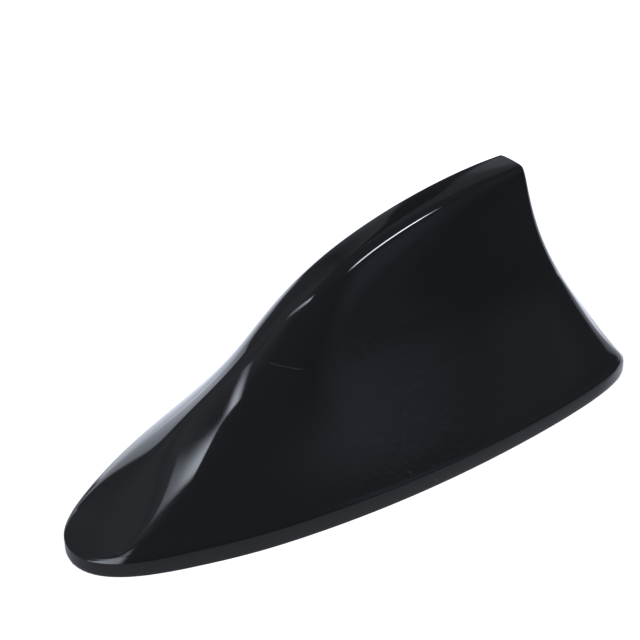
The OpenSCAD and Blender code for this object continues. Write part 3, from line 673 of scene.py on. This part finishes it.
def scratch(tree):
    """A thin light scratch on the near flank, which wanders a little and breaks up."""
    place, (start, end) = coordinates(tree), SCRATCH
    run = Vector((end[0] - start[0], end[1] - start[1]))
    x = math_node(tree, "SUBTRACT", place["X"], start[0] * MM)
    z = math_node(tree, "SUBTRACT", place["Z"], start[1] * MM)
    along = math_node(tree, "ADD", math_node(tree, "MULTIPLY", x, run.x / run.length ** 2 / MM),
                      math_node(tree, "MULTIPLY", z, run.y / run.length ** 2 / MM))
    aside = math_node(tree, "SUBTRACT", math_node(tree, "MULTIPLY", z, run.x / run.length),
                      math_node(tree, "MULTIPLY", x, run.y / run.length))
    waver = math_node(tree, "SUBTRACT", pattern(tree, NOISE, 1.6, Detail=2.0), 0.5)
    aside = math_node(tree, "MULTIPLY_ADD", waver, 0.7 * MM, aside)
    line = share_of(tree, math_node(tree, "ABSOLUTE", aside), 0.09 * MM, 0.02 * MM)
    for test in (math_node(tree, "GREATER_THAN", along, 0), math_node(tree, "LESS_THAN", along, 1),
                 math_node(tree, "LESS_THAN", place["Y"], 0)):
        line = math_node(tree, "MULTIPLY", line, test)
    return line


def gloss_black_abs():
    """ABS moulded in a polished tool: deep black, mirror gloss, with the fine hairlines, the few
    dust specks and the one scratch that such a face picks up."""
    black, worn = "#0d0e10", "#5c6067"
    made, tree, shader = started("gloss_black_abs", black, 0.05, IOR=1.53)
    hair = hairlines(tree)
    painted(tree, shader, hair, gloss=(0.045, 0.22), depth=-0.0012)
    # The skin's slight unevenness, 9 mm from crest to crest.
    laid(tree, shader, NOISE, 9, 0.2, 0.8, depth=0.004, Detail=1.0)
    # Dust specks under 0.3 mm.
    marks = share_of(tree, pattern(tree, CELLS, 11), 0.021, 0.013)
    for mark, strength in ((scratch(tree), 0.3), (hair, 0.07)):
        marks = math_node(tree, "MAXIMUM", marks, math_node(tree, "MULTIPLY", mark, strength))
    painted(tree, shader, marks, tones=(black, worn))
    return made


def matt_black_abs():
    """ABS moulded in a spark-eroded tool: dark grey, even fine grain, ejector pin marks."""
    made, tree, shader = started("matt_black_abs", "#1d1e20", 0.55, IOR=1.53)
    laid(tree, shader, NOISE, 30, tones=("#1a1b1d", "#222326"), Detail=3.0)
    laid(tree, shader, NOISE, 0.35, gloss=(0.48, 0.66), depth=0.03, Detail=2.0)
    # Four pin marks of 4 mm on the well's roof, 0.15 mm deep.
    place = coordinates(tree)
    x = math_node(tree, "ABSOLUTE", math_node(tree, "SUBTRACT", place["X"], WELL_X * MM))
    x = math_node(tree, "SUBTRACT", x, PIN_MARK[0] * MM)
    y = math_node(tree, "SUBTRACT", math_node(tree, "ABSOLUTE", place["Y"]), PIN_MARK[1] * MM)
    painted(tree, shader, ramp(tree, distance(tree, x, y), 1.85 * MM, 2.05 * MM), depth=0.15)
    return made


def seal_rubber():
    """EPDM rubber, pressed and vulcanised: soft black with a bloom that dulls it."""
    made, tree, shader = started("pressed_epdm_rubber", "#19191a", 0.7, IOR=1.5)
    laid(tree, shader, NOISE, 5, tones=("#161617", "#222223"), Detail=4.0)
    laid(tree, shader, NOISE, 0.2, gloss=(0.62, 0.82), depth=0.02, Detail=2.0)
    return made


def foam_tape():
    """Closed-cell polyethylene foam: charcoal, with cut cells about 0.35 mm wide, painted darker in
    their hollows as shade.
    """
    made, tree, shader = started("closed_cell_foam", "#1b1c1e", 0.85, IOR=1.5, Sheen_Weight=0.15)
    # The cells' hollow middles are painted darker: painted shade, with the bump that sinks them.
    laid(tree, shader, CELLS, 0.35, 0.1, 0.6, tones=("#131415", "#26282a"), depth=0.09)
    laid(tree, shader, NOISE, 6, gloss=(0.78, 0.92), Detail=2.0)
    return made


def tape_adhesive():
    """Acrylic adhesive on the pad's underside: a dark film with a soft shine over the cells."""
    made, tree, shader = started("acrylic_adhesive", "#222426", 0.35, IOR=1.47)
    laid(tree, shader, CELLS, 0.5, 0.05, 0.7, depth=0.02)
    laid(tree, shader, NOISE, 14, tones=("#1e2022", "#2a2c2f"), gloss=(0.28, 0.46), Detail=3.0)
    return made


def zinc_steel():
    """Steel, zinc plated and passivated: bright with a faint blue and yellow cast."""
    made, tree, shader = started("zinc_plated_steel", "#c3c6ca", 0.28, Metallic=1.0)
    laid(tree, shader, NOISE, 1.6, tones=("#b4bac4", "#cfcab8"), Detail=2.0)
    laid(tree, shader, NOISE, 0.25, gloss=(0.22, 0.4), depth=0.006, Detail=2.0)
    return made


def glass_fibre():
    """Glass-fibre board under green solder mask: copper areas show paler, the weave faintly."""
    made, tree, shader = started("solder_mask_board", "#1c5a3a", 0.32, IOR=1.55, Coat_Weight=0.4,
                                 Coat_Roughness=0.15)
    laid(tree, shader, CELLS, 4.5, 0.03, 0.07, tones=("#123f29", "#1f6a43"), depth=0.035,
         feature="DISTANCE_TO_EDGE")
    laid(tree, shader, NOISE, 0.5, gloss=(0.26, 0.4), depth=0.008, stretch=(1, 0.25, 1))
    return made


def tinned_sheet():
    """Steel sheet, hot tinned and rolled: soft silver with fine rolling lines along it."""
    made, tree, shader = started("tinned_steel_sheet", "#b9bbbd", 0.3, Metallic=1.0)
    laid(tree, shader, NOISE, 3.5, tones=("#adb0b3", "#c6c7c6"), Detail=3.0)
    laid(tree, shader, NOISE, 0.2, gloss=(0.24, 0.42), depth=0.008, stretch=(0.05, 1, 1))
    return made


def chip_epoxy():
    """Epoxy moulding compound: matt charcoal with the filler's fine grain."""
    made, tree, shader = started("epoxy_moulding", "#1e1f20", 0.6, IOR=1.55)
    laid(tree, shader, NOISE, 0.12, tones=("#191a1b", "#28292a"), depth=0.01, Detail=2.0)
    return made


def chip_ceramic():
    """Fired barium titanate: warm tan, slightly mottled."""
    made, tree, shader = started("fired_ceramic", "#a08462", 0.45, IOR=1.6)
    laid(tree, shader, NOISE, 0.3, tones=("#94785a", "#ae9270"), depth=0.006, Detail=3.0)
    return made


def ferrite():
    """Sintered ferrite: dark grey with a slight lustre and open grain."""
    made, tree, shader = started("sintered_ferrite", "#38383a", 0.5, IOR=2.0)
    laid(tree, shader, NOISE, 0.18, tones=("#2f2f31", "#454547"), gloss=(0.4, 0.62), depth=0.015)
    return made


def copper_wire():
    """Enamelled copper wire: warm metal under a clear amber lacquer."""
    made, tree, shader = started("enamelled_copper", "#b4683a", 0.25, Metallic=1.0, Coat_Weight=0.8,
                                 Coat_Roughness=0.08)
    laid(tree, shader, NOISE, 2.2, tones=("#a35a30", "#c27745"), gloss=(0.2, 0.34), Detail=2.0)
    return made


def can_aluminium():
    """Drawn aluminium: bright, with drawing lines and the dark polarity mark on the top."""
    made, tree, shader = started("drawn_aluminium", "#c9cbcd", 0.28, Metallic=1.0)
    laid(tree, shader, NOISE, 0.15, gloss=(0.2, 0.38), depth=0.006, stretch=(1, 1, 0.05))
    place = coordinates(tree)
    top = math_node(tree, "GREATER_THAN", place["Z"], (CAN_Z + 4.4) * MM)
    side = math_node(tree, "LESS_THAN", place["X"], (PART_X - 1.6) * MM)
    painted(tree, shader, math_node(tree, "MULTIPLY", top, side), tones=("#c9cbcd", "#26272a"))
    return made


def socket_brass():
    """Turned brass with thin gold plating: warm, with fine turning lines round it."""
    made, tree, shader = started("gold_plated_brass", "#caa352", 0.22, Metallic=1.0)
    laid(tree, shader, NOISE, 0.12, gloss=(0.16, 0.32), depth=0.006, stretch=(0.1, 0.1, 1))
    laid(tree, shader, NOISE, 1.8, tones=("#be9647", "#d6b163"), Detail=2.0)
    return made


def white_insulator():
    """Turned PTFE: waxy white, slightly see-through."""
    made, tree, shader = started("turned_ptfe", "#e4e2db", 0.45, IOR=1.35, Subsurface_Weight=0.2,
                                 Subsurface_Scale=0.001)
    laid(tree, shader, NOISE, 0.3, tones=("#dad8d0", "#ecebe5"), depth=0.01, stretch=(0.2, 0.2, 1))
    return made


def natural_nylon():
    """Moulded natural nylon: milky cream with a satin skin."""
    made, tree, shader = started("natural_nylon", "#d6d2c4", 0.4, IOR=1.53, Subsurface_Weight=0.25,
                                 Subsurface_Scale=0.002)
    laid(tree, shader, NOISE, 7, tones=("#cdc8b8", "#dedacd"), Detail=2.0)
    laid(tree, shader, NOISE, 0.3, gloss=(0.34, 0.5), depth=0.012, Detail=2.0)
    return made


# Cover, with its screw bosses

cover = moulded_cover()
for spot in SCREWS:
    cut(cover, cylinder(spot, BOSS_R, FLOOR_Z, FLOOR_Z + BOSS_H), "UNION")
for spot in SCREWS:
    cut(cover, cylinder(spot, BOSS_BORE, FLOOR_Z - 1, FLOOR_Z + BOSS_H - 1, 32))
settle(cover, gloss_black_abs(), "gloss_abs", "cover", sharp=40)

# Base, gasket and foam pad

rubber, steel, tin, epoxy = seal_rubber(), zinc_steel(), tinned_sheet(), chip_epoxy()
settle(softened("base_plate", "base_moulding", 0.25), matt_black_abs(), "matt_abs", "base_plate")
settle(softened("rim_gasket", "rim_seal", 0.4, 3), rubber, "seal_rubber", "rim_gasket")
pad = softened("adhesive_pad", "foam_pad", 0.3, 3, profile=0.6)
settle(pad, (foam_tape(), tape_adhesive()), "foam_tape", "adhesive_pad")
for face in pad.data.polygons:
    face.material_index = int(face.normal.z < -0.9)

# Screws

screws("base_screw", screw("base_screw", head=2.7, tall=1.1, shank=1.15, length=7.5,
                           slot_wide=0.7, slot_deep=0.6, pitch=0.8),
       SCREWS, SEAT_Z, False, steel, "base_screws")
screws("board_screw", screw("board_screw", head=1.6, tall=1.0, shank=0.85, length=4.4,
                            slot_wide=0.45, slot_deep=0.5, pitch=0.6),
       POSTS, TOP_Z, True, steel, "board_screws")

# Circuit board, what stands on it, and the aerial element's former and folded top plate

for node, name, edge, finish, slot in (
        ("circuit_board", "printed_board", 0.1, glass_fibre(), "glass_fibre"),
        ("shield_can", "screening_can", 0.12, tin, "tinned_sheet"),
        ("amplifier_chip", "amplifier_body", 0.1, epoxy, "chip_epoxy"),
        ("chip_legs", "amplifier_legs", 0.04, tin, "tinned_sheet"),
        ("chip_capacitors", "ceramic_capacitors", 0.08, chip_ceramic(), "chip_ceramic"),
        ("chip_resistors", "thick_film_resistors", 0.05, epoxy, "chip_epoxy"),
        ("capacitor_foot", "capacitor_base", 0.12, epoxy, "chip_epoxy"),
        ("coax_socket", "socket_shell", 0.08, socket_brass(), "socket_brass"),
        ("socket_insulator", "socket_core", 0.06, white_insulator(), "white_insulator"),
        ("coil_former", "coil_bobbin", 0.2, natural_nylon(), "natural_nylon"),
        ("top_plate", "capacity_plate", 0.12, tin, "tinned_sheet")):
    settle(softened(node, name, edge), finish, slot, node)

# Choke: a ferrite core, and a winding whose outer turns stand out as ridges

core = [(0, TOP_Z), (FLANGE_R, TOP_Z), (FLANGE_R, WAIST_LOW), (WAIST_R, WAIST_LOW),
        (WAIST_R, WAIST_TOP), (FLANGE_R, WAIST_TOP), (FLANGE_R, WAIST_TOP + FLANGE),
        (0, WAIST_TOP + FLANGE)]
settle(turned("choke_bobbin", core, (PART_X, CHOKE_Y), edge=0.12), ferrite(), "ferrite",
       "choke_core")
copper = copper_wire()
winding = [(WAIST_R, WAIST_LOW)]
for k in range(round((WAIST_TOP - WAIST_LOW) / WIRE)):
    middle = WAIST_LOW + WIRE * (k + 0.5)
    for step in range(5):
        a = math.radians(-80 + 40 * step)
        winding.append((LAYER_R + 0.5 * WIRE * math.cos(a), middle + 0.5 * WIRE * math.sin(a)))
winding.append((WAIST_R, WAIST_TOP))
settle(turned("choke_wire", winding, (PART_X, CHOKE_Y)), copper, "copper_wire", "choke_winding",
       sharp=60)

# Capacitor: a can with a groove over its foot and a crimped top

can = [(0, 0), (2.85, 0), (2.85, 0.5), (3.15, 0.8), (3.15, 4.3), (2.85, 4.6), (2.6, 4.6),
       (2.5, 4.45), (0, 4.45)]
settle(turned("capacitor_sleeve", [(r, CAN_Z + z) for r, z in can], (PART_X, CAN_Y), edge=0.08),
       can_aluminium(), "can_aluminium", "capacitor_can")

# Rubber grommet: soft lips, and a waist that grips the well's roof

lips = [(1.6, 0), (4.1, 0), (4.5, 0.4), (4.5, 1), (3.2, 1), (3.2, 2.8), (4.5, 2.8), (4.5, 3.4),
        (4.1, 3.8), (1.6, 3.8)]
settle(turned("lead_inlet", [(r, GROMMET_Z + z) for r, z in lips], (INLET_X, 0), steps=96,
              edge=0.3, segments=4),
       rubber, "seal_rubber", "lead_grommet")

# Coil: one wire from the board, round the former and up to the top plate

path = bpy.data.curves.new("coil_wire", "CURVE")
path.dimensions, path.use_fill_caps = "3D", True
path.bevel_depth, path.bevel_resolution = COIL_WIRE_R * MM, 3
line = path.splines.new("POLY")
around, end = 24, COIL_Z + PITCH * TURNS
steps = [(90, TOP_Z), (90, COIL_Z - 1), (90, COIL_Z - 0.3)]
steps += [(90 + 360 * k / around, COIL_Z + PITCH * k / around) for k in range(around * TURNS + 1)]
steps += [(90, end + 0.4), (90, end + 1), (90, WIRE_TOP)]
line.points.add(len(steps) - 1)
for point, (turn, z) in zip(line.points, steps):
    a = math.radians(turn)
    point.co = ((COIL_X + COIL_R * math.cos(a)) * MM, COIL_R * math.sin(a) * MM, z * MM, 1)
only(placed("coil_wire", path))
ops.object.convert(target="MESH")
coil = bpy.context.object
cleaned(coil)
settle(coil, copper, "copper_wire", "aerial_coil", sharp=60)
